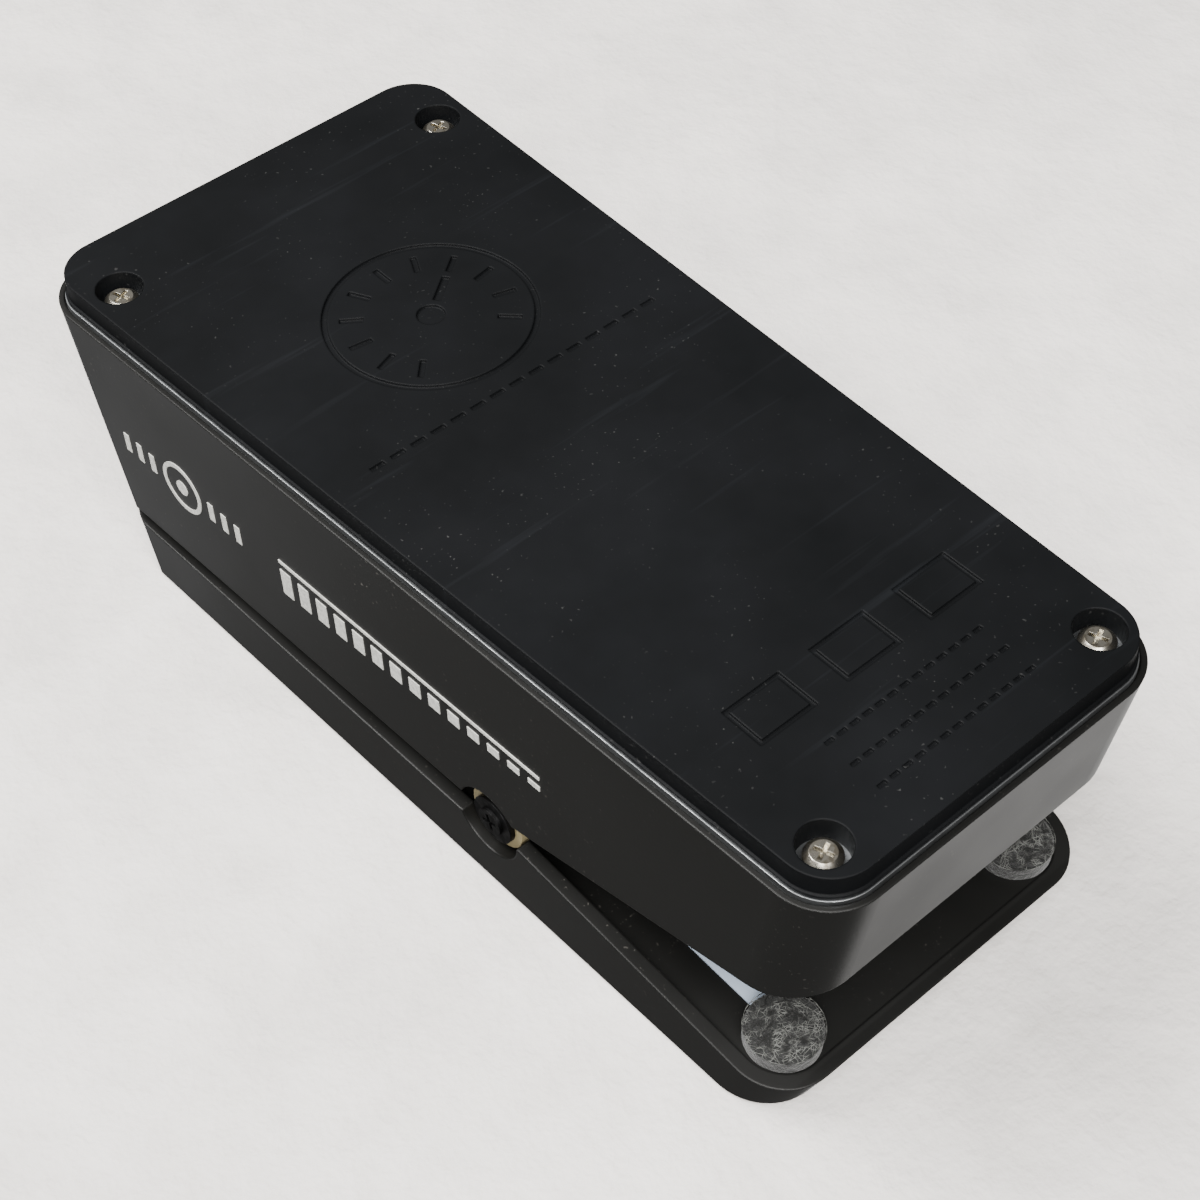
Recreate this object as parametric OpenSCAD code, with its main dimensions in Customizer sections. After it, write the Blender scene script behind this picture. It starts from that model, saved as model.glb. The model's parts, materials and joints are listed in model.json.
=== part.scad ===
/* [Housing] */
// Length of the housing along its bottom edge
body_l = 182; // [150:1:220]
// Width of the housing at the toe end
toe_w = 84.6; // [70:0.2:102]
// Width of the housing at the heel end
heel_w = 70.6; // [58:0.2:85]
// Radius of the upright corners
corner_r = 10; // [6:0.5:12]
// Thickness of the cast walls
wall = 2.6; // [2:0.1:3]
// Lean of the toe wall towards the heel
toe_lean = 15; // [8:0.5:18]
// Lean of the heel wall towards the toe
heel_lean = 9; // [4:0.5:12]
// Height of the rim at the toe end
rim_toe_z = 45; // [42:0.5:47]
// Height of the rim beside the pivot
rim_pivot_z = 46.2; // [44:0.2:47]
// Height of the rim at the heel end
rim_heel_z = 29; // [26:0.2:34]

/* [Base] */
// Height of the rubber pad under the base plate
pad_h = 4.4; // [3.6:0.2:5.6]
// Height of the lip at the root of the pad
pad_lip_h = 0.8; // [0.5:0.1:1.2]
// Thickness of the steel base plate
plate_t = 1.2; // [1:0.1:1.6]
// Depth of the rebate in the housing that takes the plate
rebate_h = 0.6; // [0.4:0.1:0.8]
// Distance of each base screw from the side of the housing
screw_side = 7.8; // [7:0.1:9]
// Distance of the toe screws from the toe edge
screw_toe = 15.1; // [13:0.1:18]
// Distance of the heel screws from the heel edge
screw_heel = 8.6; // [7.8:0.1:10]
// Radius of the recess around each base screw
recess_r = 4.05; // [3.8:0.05:4.6]
// Radius of the pan head of a base screw
screw_head_r = 2.9; // [2.5:0.1:3.2]
// Height of the pan head of a base screw
screw_head_h = 2.7; // [1.8:0.1:3]
// Thread radius of the base screws
screw_r = 1.25; // [1.1:0.05:1.5]

/* [Treadle] */
// Distance of the pivot from the middle of the housing, towards the heel
pivot_back = 20.7; // [16:0.1:26]
// Height of the pivot above the floor
pivot_z = 48.5; // [47.5:0.1:50]
// Pitch of the treadle in the toe-down position
pitch = 2.9; // [1:0.1:4]
// Travel of the treadle from toe down to heel down
travel = 21; // [16:1:22]
// Height of the top of the treadle casting above the pivot
tread_top = 15.1; // [14.5:0.1:18]
// Depth of the treadle from its top edge to the underside of its floor
tread_t = 8.3; // [8:0.1:8.6]
// Depth of the pocket in the treadle that holds the mat
pocket_h = 4.4; // [3.6:0.1:4.8]
// Thickness of the side flanges of the treadle
flange_t = 2.6; // [2:0.1:3]
// Distance of the heel end of the treadle from the heel edge of the housing
tread_heel_in = 5.5; // [4:0.1:8]
// Lean of the heel end of the treadle towards the toe
tread_lean = 22; // [8:1:24]
// Height of the mat above the edge of the treadle
mat_proud = 0.9; // [0.5:0.1:1.6]
// Distance of the mat from the edge of the treadle
mat_in = 3.2; // [2.5:0.1:6]
// Radius of the felt pads
felt_r = 6.35; // [5.5:0.05:7]
// Thickness of the felt pads
felt_t = 3; // [2:0.1:3.6]

/* [Pivot] */
// Radius of the pivot axle
axle_r = 3; // [2.5:0.1:3.6]
// Outer radius of the bushes
bush_r = 4.6; // [4.5:0.1:5.5]
// Radius of the flange of a bush
bush_flange_r = 6; // [5.6:0.1:7.2]
// Thickness of the flange of a bush
bush_flange_t = 2.2; // [2:0.1:2.4]
// Radius of the lugs that carry the pivot
lug_r = 6.2; // [6:0.1:7.6]
// Radius of the round notches in the housing and the treadle
notch_r = 6.9; // [6.7:0.1:8.6]
// Running clearance between axle and bush
run_gap = 0.05; // [0.02:0.01:0.1]

/* [Band drive] */
// Radius of the sector on the treadle
sector_r = 46; // [38:0.1:48]
// Turns of the drum for one turn of the treadle
drive_ratio = 8; // [7.5:0.1:8.5]
// Angle below level at which the drum lies, seen from the pivot
drive_angle = 27; // [26:0.5:29]
// Thickness of the steel band
band_t = 0.3; // [0.2:0.05:0.4]
// Width of the steel band
band_w = 6; // [5:0.5:7]
// Clearance between the band on the sector and the band on the drum
band_gap = 0.3; // [0.2:0.05:0.4]
// Radius of the potentiometer case
pot_r = 12; // [10.5:0.5:12]
// Radius of the potentiometer shaft
shaft_r = 3; // [2.5:0.1:3.2]

/* [Jacks] */
// Distance between neighbouring jacks
jack_gap = 19; // [15.8:0.1:20]
// Height of the jacks, measured up the toe wall
jack_up = 21; // [19:0.5:24]
// Radius of the plug hole of a jack
plug_r = 3.25; // [3.2:0.01:3.3]
// Radius of the threaded neck of a jack
neck_r = 4.7; // [4.5:0.1:5]
// Distance that the neck stands out of the wall
neck_out = 3.2; // [2.8:0.1:4]

/* [Hidden] */
$fn = 64;
cut = 1;
far = 300;
slip = 0.1;
fit_gap = 0.05;
base_z = pad_h + plate_t - rebate_h;
plate_z = pad_h;
inside_z = pad_h + plate_t;
toe_y = body_l / 2;
heel_y = -body_l / 2;
taper = (toe_w - heel_w) / 2 / body_l;
pivot_y = -pivot_back;
tread_heel_y = heel_y + tread_heel_in;
tread_under = tread_top - tread_t;
block_h = 160;
rim_drop = 0.6;
seam = 0.004;
core_half = 20;
rebate_in = 1;
plate_in = rebate_in + 0.3;
lip_in = plate_in + 0.2;
pad_in = lip_in + 0.4;

// Half width of the body at a distance y along it
function half_w(y) = heel_w / 2 + taper * (y - heel_y);

// Pivot bearing positions across the body
pivot_half = half_w(pivot_y);
lug_out = pivot_half - wall - 1.6;
lug_in = lug_out - 4.8;
ear_out = lug_in - 0.9;
ear_in = ear_out - 5;
flange_out = lug_out + bush_flange_t;
axle_end = flange_out + slip;
washer_t = 1;
washer_r = 4.5;
thrust_t = 0.6;
thrust_r = lug_r - 0.4;
axle_head_h = 0.6;
axle_head_r = 2.6;

// Screw, post and pad positions
screw_toe_y = toe_y - screw_toe;
screw_heel_y = heel_y + screw_heel;
screw_toe_x = half_w(screw_toe_y) - screw_side;
screw_heel_x = half_w(screw_heel_y) - screw_side;
boss_r = 4.5;
bore_gap = 0.1;
post_r = 4.2;
felt_gap = 0.4;
felt_in = max(corner_r - 0.3, flange_t + felt_r + 0.7);
heel_felt_y = tread_heel_y - pivot_y + felt_in - 0.8;
heel_felt_x = half_w(pivot_y + heel_felt_y) - felt_in;
toe_felt_y = toe_y - pivot_y - 25.9;
toe_felt_x = half_w(pivot_y + toe_felt_y) - flange_t - felt_r - 0.7;
felt_face = tread_under - felt_t;
label_x = heel_felt_x + 0.1;
label_y = heel_felt_y + felt_r + 0.2;

// Drive positions
drum_r = (sector_r + band_t / 2) / drive_ratio - band_t / 2;
drive_d = sector_r + band_t + band_gap + band_t + drum_r;
drum_y = pivot_y + drive_d * cos(drive_angle);
drum_z = pivot_z - drive_d * sin(drive_angle);
sector_lo = -drive_angle - travel - 11;
sector_hi = -drive_angle + 11;
sector_w = 8;
sector_web = 3;
sector_rim = 4;
screw_flat_r = 2.9;
foot_heel = 13;
foot_toe = sector_r + 1;
drum_w = 10;
bracket_x = 9.5;
bracket_t = 1.5;
bracket_half = 11;
shelf_z = drum_z - pot_r - bracket_t - 0.6;
shelf_t = 3;
shelf_over = 2;
pot_x = bracket_x + bracket_t;
pot_depth = 10;
lug_gap = 5;
lug_base = 1;
foot_end = 33;
foot_screw_x = 27.5;
foot_screw_y = 7.5;

// Jack module, measured in the frame of the toe wall
jack_w = 15.5;
jack_h = 11.5;
jack_back = -28;
jack_front = -wall - 0.6;
bore_l = 26;
board_t = 1.6;
board_top = -jack_h / 2;
board_half = jack_gap + 7.3;
board_front = -6.5;
board_back = -39;
nut_t = 2.2;
nut_r = 7.3;
face_washer_t = 0.7;

// Two-dimensional outline of the tapered body between y0 and y1, moved in by i.
// On a leaning plane, squash is the cosine of the lean and keeps the upright width.
module outline(y0, y1, i, squash = 1) {
    r = corner_r - i;
    side_a = atan(taper / squash);
    toe_c = y1 - i - r;
    heel_c = y0 + i + r;
    toe_x = half_w(y0 + (toe_c - y0) / squash) - (i + r) / cos(side_a);
    heel_x = half_w(y0 + (heel_c - y0) / squash) - (i + r) / cos(side_a);
    side_x = r * cos(side_a);
    side_y = r * sin(side_a);
    polygon([[toe_x, toe_c + r], [toe_x + side_x, toe_c - side_y],
        [heel_x + side_x, heel_c - side_y], [heel_x, heel_c - r],
        [-heel_x, heel_c - r], [-heel_x - side_x, heel_c - side_y],
        [-toe_x - side_x, toe_c - side_y], [-toe_x, toe_c + r]]);
    for (s = [-1, 1]) {
        translate([s * toe_x, toe_c]) circle(r = r + seam);
        translate([s * heel_x, heel_c]) circle(r = r + seam);
    }
}

// Upright plate with the body's outline, moved in by i
module slab(z0, z1, i) {
    translate([0, 0, z0]) linear_extrude(height = z1 - z0) outline(heel_y, toe_y, i);
}

// Block whose toe end leans back from the bottom edge of the housing
module toe_block(i) {
    translate([0, toe_y, base_z]) rotate([toe_lean, 0, 0]) translate([0, -toe_y, -block_h / 3])
        linear_extrude(height = block_h * 4 / 3) outline(heel_y - body_l, toe_y, i);
}

// Block whose heel end leans forward from the bottom edge of the housing
module heel_block(i) {
    translate([0, heel_y, base_z]) rotate([-heel_lean, 0, 0]) translate([0, -heel_y, -block_h / 3])
        linear_extrude(height = block_h * 4 / 3) outline(heel_y, toe_y + body_l, i);
}

// Plain middle block of a plate, half widths x and y between two heights
module core(x, y, z0, z1) {
    translate([-x, -y, z0]) cube([2 * x, 2 * y, z1 - z0]);
}

module body_block(i) {
    intersection() {
        toe_block(i);
        heel_block(i);
    }
}

// Side profile given as [y, z] points, extruded right across the body
module across(points, w) {
    rotate([90, 0, 90]) translate([0, 0, -w / 2]) linear_extrude(height = w) polygon(points);
}

// Rod along X from x0 to x1
module rod(x0, x1, r) {
    translate([x0, 0, 0]) rotate([0, 90, 0]) cylinder(h = x1 - x0, r = r);
}

module at_pivot() {
    translate([0, pivot_y, pivot_z]) children();
}

// Frame of the treadle: origin on the pivot, Y along the plate towards the toe
module on_treadle(turn = -pitch) {
    at_pivot() rotate([turn, 0, 0]) children();
}

// Frame of the toe wall: Y points straight out of the wall, Z runs up it
module on_toe_wall(x, up) {
    translate([0, toe_y, base_z]) rotate([toe_lean, 0, 0]) translate([x, 0, up]) children();
}

module both_sides() {
    children();
    mirror([1, 0, 0]) children();
}

module base_screw_places() {
    for (s = [-1, 1]) {
        translate([s * screw_toe_x, screw_toe_y, 0]) children();
        translate([s * screw_heel_x, screw_heel_y, 0]) children();
    }
}

// ---------------------------------------------------------------- housing
// Outer block of the housing, cut along its two-slope rim
module housing_block() {
    intersection() {
        body_block(0);
        across([[heel_y - cut, base_z], [toe_y + cut, base_z], [toe_y + cut, rim_toe_z],
            [pivot_y, rim_pivot_z], [pivot_y, rim_pivot_z - rim_drop], [heel_y - cut, rim_heel_z]], far);
    }
}

// Column with a blind screw hole, joined to the side wall by a web
module screw_column(x, y, top) {
    translate([x, y, inside_z]) cylinder(h = top - inside_z, r = boss_r);
    translate([x, y - 1.5, inside_z]) cube([boss_r + 3, 3, top - inside_z - 2]);
}

// Stop posts that meet the felt pads at the two ends of the travel
module heel_post() {
    difference() {
        translate([heel_felt_x, pivot_y + heel_felt_y - 0.8, inside_z + 2]) cylinder(h = 50, r = post_r);
        on_treadle(travel - pitch) translate([-far / 2, -far / 2, felt_face - felt_gap])
            cube([far, far, far]);
    }
}

module toe_post() {
    difference() {
        translate([toe_felt_x, pivot_y + toe_felt_y, inside_z + 2]) cylinder(h = 60, r = post_r);
        on_treadle() translate([-far / 2, -far / 2, felt_face - felt_gap]) cube([far, far, far]);
    }
    translate([toe_felt_x, pivot_y + toe_felt_y - 1.5, inside_z + 2]) cube([post_r + 4, 3, 34]);
}

module pivot_lug() {
    at_pivot() rod(lug_in, lug_out, lug_r);
    translate([lug_in, pivot_y - lug_r, pivot_z - 24]) cube([lug_out - lug_in, 2 * lug_r, 24]);
    translate([lug_in, pivot_y - lug_r, pivot_z - 24])
        cube([pivot_half - lug_in - wall / 2, 2 * lug_r, 12]);
}

module housing() color("#232322") {
    difference() {
        union() {
            difference() {
                housing_block();
                body_block(wall);
            }
            intersection() {
                body_block(wall / 2);
                union() {
                    both_sides() {
                        screw_column(screw_toe_x, screw_toe_y, rim_toe_z - 5);
                        screw_column(screw_heel_x, screw_heel_y, rim_heel_z - 3);
                    }
                    translate([-far / 2, drum_y - bracket_half - shelf_over, shelf_z - shelf_t])
                        cube([far, 2 * (bracket_half + shelf_over), shelf_t]);
                }
            }
            both_sides() {
                heel_post();
                toe_post();
                pivot_lug();
            }
        }
        slab(base_z - cut, inside_z, rebate_in);
        base_screw_places() translate([0, 0, inside_z - cut]) cylinder(h = 14, r = screw_r + bore_gap);
        both_sides() {
            at_pivot() rod(lug_out, far, notch_r);
            at_pivot() rod(lug_in - cut, lug_out + cut, bush_r + fit_gap);
        }
        for (x = [-jack_gap, 0, jack_gap])
            on_toe_wall(x, jack_up) rotate([90, 0, 0])
                translate([0, 0, -cut]) cylinder(h = wall + 2 * cut, r = neck_r + slip);
        bracket_screw_places() translate([0, 0, -shelf_t - cut])
            cylinder(h = shelf_t + 2 * cut, r = screw_r + bore_gap);
    }
}

// ---------------------------------------------------------------- base
module base_plate() color("#8d8f90") {
    difference() {
        union() {
            slab(plate_z, inside_z, plate_in);
            core(core_half, body_l / 4, plate_z, inside_z);
        }
        base_screw_places() translate([0, 0, plate_z - cut])
            cylinder(h = plate_t + 2 * cut, r = screw_r + 0.35);
    }
}

// Shallow moulded marks: a plain level dial, a dashed line, blank plates and bars
module pad_marks() {
    depth = 0.45;
    dial_y = 35.5;
    dial_r = 18;
    translate([0, dial_y, -cut]) {
        difference() {
            cylinder(h = depth + cut, r = dial_r);
            translate([0, 0, -cut]) cylinder(h = depth + 3 * cut, r = dial_r - 1);
        }
        for (a = [-135 : 27 : 135]) rotate([0, 0, a]) translate([-0.5, dial_r - 7, 0])
            cube([1, 4, depth + cut]);
        cylinder(h = depth + cut, r = 2.4);
        rotate([0, 0, 54]) translate([-0.7, 3.6, 0]) cube([1.4, 6, depth + cut]);
    }
    for (x = [-28 : 4 : 28]) translate([x - 1.3, 13.2, -cut]) cube([2.6, 0.9, depth + cut]);
    for (x = [-17, 0, 17]) translate([x - 5.5, -65, -cut]) difference() {
        cube([11, 8, depth + cut]);
        translate([0.8, 0.8, -cut]) cube([9.4, 6.4, depth + 3 * cut]);
    }
    for (y = [-71, -76, -81]) for (x = [-15 : 2.5 : 15])
        translate([x - 0.8, y, -cut]) cube([1.6, 0.7, depth + cut]);
}

module base_pad() color("#17191b") {
    difference() {
        union() {
            slab(0, pad_h - pad_lip_h, pad_in);
            slab(pad_h - pad_lip_h, pad_h, lip_in);
        }
        base_screw_places() translate([0, 0, -cut]) cylinder(h = pad_h + 2 * cut, r = recess_r);
        pad_marks();
    }
}

// Cross recess, cut down from the top of a head
module cross_recess(r, depth) {
    for (a = [0, 90]) rotate([0, 0, a + 20]) translate([-r, -r * 0.22, -depth])
        cube([2 * r, r * 0.44, depth + cut]);
}

module base_screws() color("#b9b6ac") {
    base_screw_places() difference() {
        union() {
            translate([0, 0, plate_z - screw_head_h + 0.8])
                cylinder(h = screw_head_h - 0.8, r = screw_head_r);
            translate([0, 0, plate_z - screw_head_h])
                cylinder(h = 0.8, r1 = screw_head_r - 0.9, r2 = screw_head_r);
            translate([0, 0, plate_z - cut / 2]) cylinder(h = plate_t + 10, r = screw_r);
        }
        translate([0, 0, plate_z - screw_head_h]) rotate([180, 0, 0]) cross_recess(1.5, 1.1);
    }
}

// ---------------------------------------------------------------- pivot
module pivot_bushes() color("#cdbb90") {
    both_sides() at_pivot() difference() {
        union() {
            rod(lug_in, lug_out + cut / 4, bush_r);
            rod(lug_out, flange_out, bush_flange_r);
        }
        rod(lug_in - cut, flange_out + cut, axle_r + run_gap);
    }
}

module pivot_axle() color("#8c8f92") {
    at_pivot() difference() {
        rod(-axle_end, axle_end, axle_r);
        both_sides() rod(axle_end - 9, axle_end + cut, screw_r + bore_gap);
    }
}

module axle_washers() color("#2b2b2b") {
    both_sides() at_pivot() difference() {
        rod(axle_end, axle_end + washer_t, washer_r);
        rod(axle_end - cut, axle_end + washer_t + cut, screw_r + bore_gap);
    }
}

module axle_end_screws() color("#1d1d1d") {
    head = axle_end + washer_t;
    both_sides() at_pivot() difference() {
        union() {
            rod(axle_end - 8, head + cut / 4, screw_r);
            rod(head, head + axle_head_h, axle_head_r);
        }
        translate([head + axle_head_h, 0, 0]) rotate([0, 90, 0]) cross_recess(1.7, 0.4);
    }
}

module thrust_washers() color("#e4e0d2") {
    both_sides() at_pivot() difference() {
        rod(ear_out, ear_out + thrust_t, thrust_r);
        rod(ear_out - cut, lug_in, axle_r + slip);
    }
}

module axle_set_screws() color("#2a2a2c") {
    mid = (ear_in + ear_out) / 2;
    both_sides() on_treadle() translate([mid, 0, -lug_r - 0.1]) difference() {
        cylinder(h = lug_r - axle_r, r = screw_r);
        translate([0, 0, -cut]) cylinder(h = 1 + cut, r = 0.7, $fn = 6);
    }
}

// ---------------------------------------------------------------- treadle
// Side profile of the treadle in its own frame, with the pivot at [0, 0]
tread_end = -(pivot_y - tread_heel_y) - 0.6;
tread_heel_z = pivot_z + tread_under * cos(pitch) - tread_end * sin(pitch);
tread_profile = [[-far / 2, tread_top], [-far / 2, tread_under - 0.1], [tread_end + 2, tread_under - 0.1],
    [0, -1], [0, 2.8], [far / 2, 4.1], [far / 2, tread_top]];

// Block whose heel end leans forward from the lower edge of the treadle
module treadle_block(i) {
    intersection() {
        toe_block(i);
        translate([0, tread_heel_y, tread_heel_z]) rotate([-tread_lean, 0, 0])
            translate([0, -tread_heel_y, -block_h / 3]) linear_extrude(height = block_h * 4 / 3)
                outline(tread_heel_y, toe_y + body_l, i, cos(tread_lean));
    }
}

module treadle_ear() {
    rod(ear_in, ear_out, lug_r);
    translate([ear_in, -lug_r, 0]) cube([ear_out - ear_in, 2 * lug_r, tread_under + cut / 4]);
}

module treadle() color("#1b1b1b") {
    difference() {
        union() {
            difference() {
                intersection() {
                    treadle_block(0);
                    on_treadle() across(tread_profile, far);
                }
                intersection() {
                    treadle_block(flange_t);
                    on_treadle() translate([-far / 2, -far / 2, tread_under - far])
                        cube([far, far, far]);
                }
                intersection() {
                    treadle_block(mat_in);
                    on_treadle() translate([-far / 2, -far / 2, tread_top - pocket_h])
                        cube([far, far, far]);
                }
            }
            both_sides() on_treadle() treadle_ear();
        }
        both_sides() {
            at_pivot() rod(ear_out + cut / 4, far, notch_r);
            at_pivot() rod(ear_in - cut, ear_out + cut, axle_r + fit_gap);
            on_treadle() translate([(ear_in + ear_out) / 2, 0, -lug_r - cut])
                cylinder(h = lug_r + cut, r = screw_r + bore_gap);
        }
        sector_screw_places() translate([0, 0, -cut]) cylinder(h = 2.2 + cut, r = screw_r + bore_gap);
    }
}

module tread_mat() color("#202020") {
    rib = 5.2;
    groove_half = half_w(tread_heel_y) - mat_in - 4;
    groove = 1.2;
    depth = 0.9;
    first = ceil((tread_end + mat_in + 4) / rib);
    last = floor((toe_y - pivot_y - 33) / rib);
    difference() {
        union() {
            intersection() {
                treadle_block(mat_in + slip);
                on_treadle() translate([-far / 2, -far / 2, tread_top - pocket_h])
                    cube([far, far, pocket_h + mat_proud]);
            }
            on_treadle() core(core_half, body_l / 6, tread_top - pocket_h, tread_top + mat_proud);
        }
        for (k = [first : last]) on_treadle()
            translate([-groove_half, k * rib + 5, tread_top + mat_proud - depth])
                cube([2 * groove_half, groove, depth + cut]);
    }
}

module heel_felt_pads() color("#3a3b39") {
    on_treadle() for (s = [-1, 1])
        translate([s * heel_felt_x, heel_felt_y, felt_face]) cylinder(h = felt_t, r = felt_r);
}

module toe_felt_pads() color("#3a3b39") {
    on_treadle() for (s = [-1, 1])
        translate([s * toe_felt_x, toe_felt_y, felt_face]) cylinder(h = felt_t, r = felt_r);
}

module underside_label() color("#c3cdda") {
    on_treadle() translate([label_x - 40, label_y, tread_under - 0.25]) cube([40, 24, 0.25]);
}

// ---------------------------------------------------------------- band drive
module sector_screw_places() {
    on_treadle() for (y = [foot_heel + 6, foot_toe - 6], x = [-5.5, 5.5])
        translate([x, y, tread_under]) children();
}

// Part of a ring about the pivot, between two angles measured from level
module ring_part(r0, r1, a0, a1, w) {
    at_pivot() rotate([90, 0, 90]) translate([0, 0, -w / 2])
        rotate([0, 0, a0]) rotate_extrude(angle = a1 - a0) translate([r0, 0]) square([r1 - r0, w]);
}

module sector_arm() color("#6d6f70") {
    web_r = sector_r - 1.5;
    web_hi = sector_hi + pitch - 2;
    web_lo = sector_lo + pitch + 2;
    foot_t = 2.5;
    difference() {
        union() {
            ring_part(sector_r - sector_rim, sector_r, sector_lo, sector_hi, sector_w);
            on_treadle() across([[foot_heel + 1, tread_under - foot_t / 2],
                [foot_toe - 3, tread_under - foot_t / 2],
                [web_r * cos(web_hi), web_r * sin(web_hi)],
                [web_r * cos((web_hi + web_lo) / 2), web_r * sin((web_hi + web_lo) / 2)],
                [web_r * cos(web_lo), web_r * sin(web_lo)], [11, -11]], sector_web);
            on_treadle() translate([-9, foot_heel, tread_under - foot_t])
                cube([18, foot_toe - foot_heel, foot_t]);
        }
        sector_screw_places() translate([0, 0, -foot_t - cut])
            cylinder(h = foot_t + 2 * cut, r = screw_r + 0.2);
        sector_screw_places() translate([0, 0, -foot_t - 8]) cylinder(h = 8, r = screw_flat_r);
        band_screw_places() translate([-1, 0, 0]) rod(-6, 2, 0.9);
    }
}

module sector_screws() color("#c4c4c0") {
    sector_screw_places() difference() {
        union() {
            translate([0, 0, -2.5]) cylinder(h = 4.5, r = screw_r);
            translate([0, 0, -4.3]) cylinder(h = 1.8, r = 2.4);
        }
        translate([0, 0, -4.3]) rotate([180, 0, 0]) cross_recess(1.3, 0.8);
    }
}

// Radial places of the screws that hold the ends of the band, X pointing outwards
module band_screw_places() {
    for (a = [sector_lo + 2.6, sector_hi - 2.2])
        at_pivot() rotate([a, 0, 0]) rotate([0, 0, 90]) translate([sector_r, 0, 0]) children();
}

module drive_band_run() color("#b8bcc0") {
    difference() {
        ring_part(sector_r, sector_r + band_t, sector_lo, sector_hi, band_w);
        band_screw_places() rod(-2, 2, 0.95);
    }
}

module band_clamps() color("#8f8a6a") {
    band_screw_places() difference() {
        translate([band_t, -2.6, -1.7]) cube([1, 5.2, 3.4]);
        rod(-cut, 3, 0.95);
    }
}

module band_screws() color("#c4c4c0") {
    band_screw_places() {
        rod(-3, 1 + band_t + 0.1, 0.8);
        rod(1 + band_t, 1.9 + band_t, 1.5);
    }
}

// ---------------------------------------------------------------- potentiometer
module at_drum() {
    translate([0, drum_y, drum_z]) children();
}

module bracket_screw_places() {
    for (s = [-1, 1]) translate([foot_screw_x, drum_y + s * foot_screw_y, shelf_z]) children();
}

module pot_bracket() color("#a7aaac") {
    difference() {
        union() {
            translate([bracket_x, drum_y - bracket_half, shelf_z])
                cube([bracket_t, 2 * bracket_half, drum_z + 10 - shelf_z]);
            translate([bracket_x, drum_y - bracket_half, shelf_z])
                cube([foot_end - bracket_x, 2 * bracket_half, bracket_t]);
        }
        at_drum() rod(bracket_x - cut, pot_x + cut, 3.6);
        bracket_screw_places() translate([0, 0, -cut]) cylinder(h = bracket_t + 2 * cut, r = screw_r + 0.2);
    }
}

module bracket_screws() color("#c4c4c0") {
    bracket_screw_places() difference() {
        union() {
            translate([0, 0, -shelf_t + 0.4]) cylinder(h = shelf_t + bracket_t - 0.3, r = screw_r);
            translate([0, 0, bracket_t]) cylinder(h = 2, r = 2.7);
        }
        translate([0, 0, bracket_t + 2]) cross_recess(1.4, 0.9);
    }
}

module pot_case() color("#b4b2aa") {
    at_drum() difference() {
        union() {
            rod(pot_x, pot_x + pot_depth, pot_r);
            rod(bracket_x - 3, pot_x + 0.5, 3.5);
            translate([pot_x + 1.6, -lug_gap - 2.4, pot_r - 4])
                cube([3.4, 2 * lug_gap + 4.8, 4 + lug_base]);
        }
        rod(bracket_x - 4, pot_x + pot_depth - 1.5, shaft_r + run_gap);
    }
}

module pot_washer() color("#8f9294") {
    at_drum() difference() {
        rod(bracket_x - 0.6, bracket_x, 5.6);
        rod(bracket_x - cut, bracket_x + cut, 3.6);
    }
}

module pot_nut() color("#cfcfcb") {
    at_drum() difference() {
        translate([bracket_x - 2.8, 0, 0]) rotate([0, 90, 0]) cylinder(h = 2.2, r = 5.6, $fn = 6);
        rod(bracket_x - 3.5, bracket_x, 3.6);
    }
}

module pot_lugs() color("#c9c3a0") {
    for (k = [-1, 0, 1]) translate([pot_x + 3, drum_y + k * lug_gap - 0.9, drum_z + pot_r + lug_base])
        cube([0.6, 1.8, 5.5]);
}

module pot_shaft() color("#d2d2cc") {
    at_drum() difference() {
        rod(-drum_w / 2 - 1, pot_x + pot_depth - 2, shaft_r);
        translate([-drum_w / 2 - 2, -shaft_r, shaft_r - 0.6]) cube([drum_w + 2, 2 * shaft_r, 1]);
    }
}

module drive_drum() color("#c7b26a") {
    at_drum() difference() {
        union() {
            rod(-band_w / 2, band_w / 2 + 0.8, drum_r);
            rod(-drum_w / 2, -band_w / 2 - 0.2, drum_r);
            rod(-band_w / 2 - 0.3, -band_w / 2, drum_r - 0.4);
        }
        rod(-drum_w / 2 - cut, drum_w / 2, shaft_r + fit_gap);
        translate([-band_w / 2 - 1, 0, 0]) cylinder(h = drum_r + cut, r = 0.7);
    }
}

module drum_set_screw() color("#2a2a2c") {
    at_drum() translate([-band_w / 2 - 1, 0, shaft_r - 0.5]) cylinder(h = drum_r - shaft_r + 0.2, r = 0.6);
}

module drive_band_wrap() color("#b8bcc0") {
    at_drum() difference() {
        rod(-band_w / 2 + 0.2, band_w / 2, drum_r + band_t);
        rod(-band_w, band_w, drum_r + 0.02);
    }
}

// ---------------------------------------------------------------- jacks and board
module jack(x) color("#1a1a1b") {
    on_toe_wall(x, jack_up) difference() {
        union() {
            translate([-jack_w / 2, jack_back, -jack_h / 2])
                cube([jack_w, jack_front - jack_back, jack_h]);
            rotate([90, 0, 0]) translate([0, 0, -neck_out]) cylinder(h = neck_out + wall + 2, r = neck_r);
        }
        rotate([90, 0, 0]) translate([0, 0, -neck_out - cut]) cylinder(h = bore_l + cut, r = plug_r);
        translate([-3, jack_back - cut, 1]) cube([6, 5 + cut, 3.2]);
    }
}

module input_jack() jack(jack_gap);
module output_jack() jack(-jack_gap);
module aux_jack() jack(0);

module jack_washers() color("#b9b9b4") {
    for (x = [-jack_gap, 0, jack_gap]) on_toe_wall(x, jack_up) rotate([90, 0, 0]) difference() {
        translate([0, 0, -face_washer_t]) cylinder(h = face_washer_t, r = nut_r + 0.6);
        translate([0, 0, -face_washer_t - cut]) cylinder(h = face_washer_t + 2 * cut, r = neck_r + fit_gap);
    }
}

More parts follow.
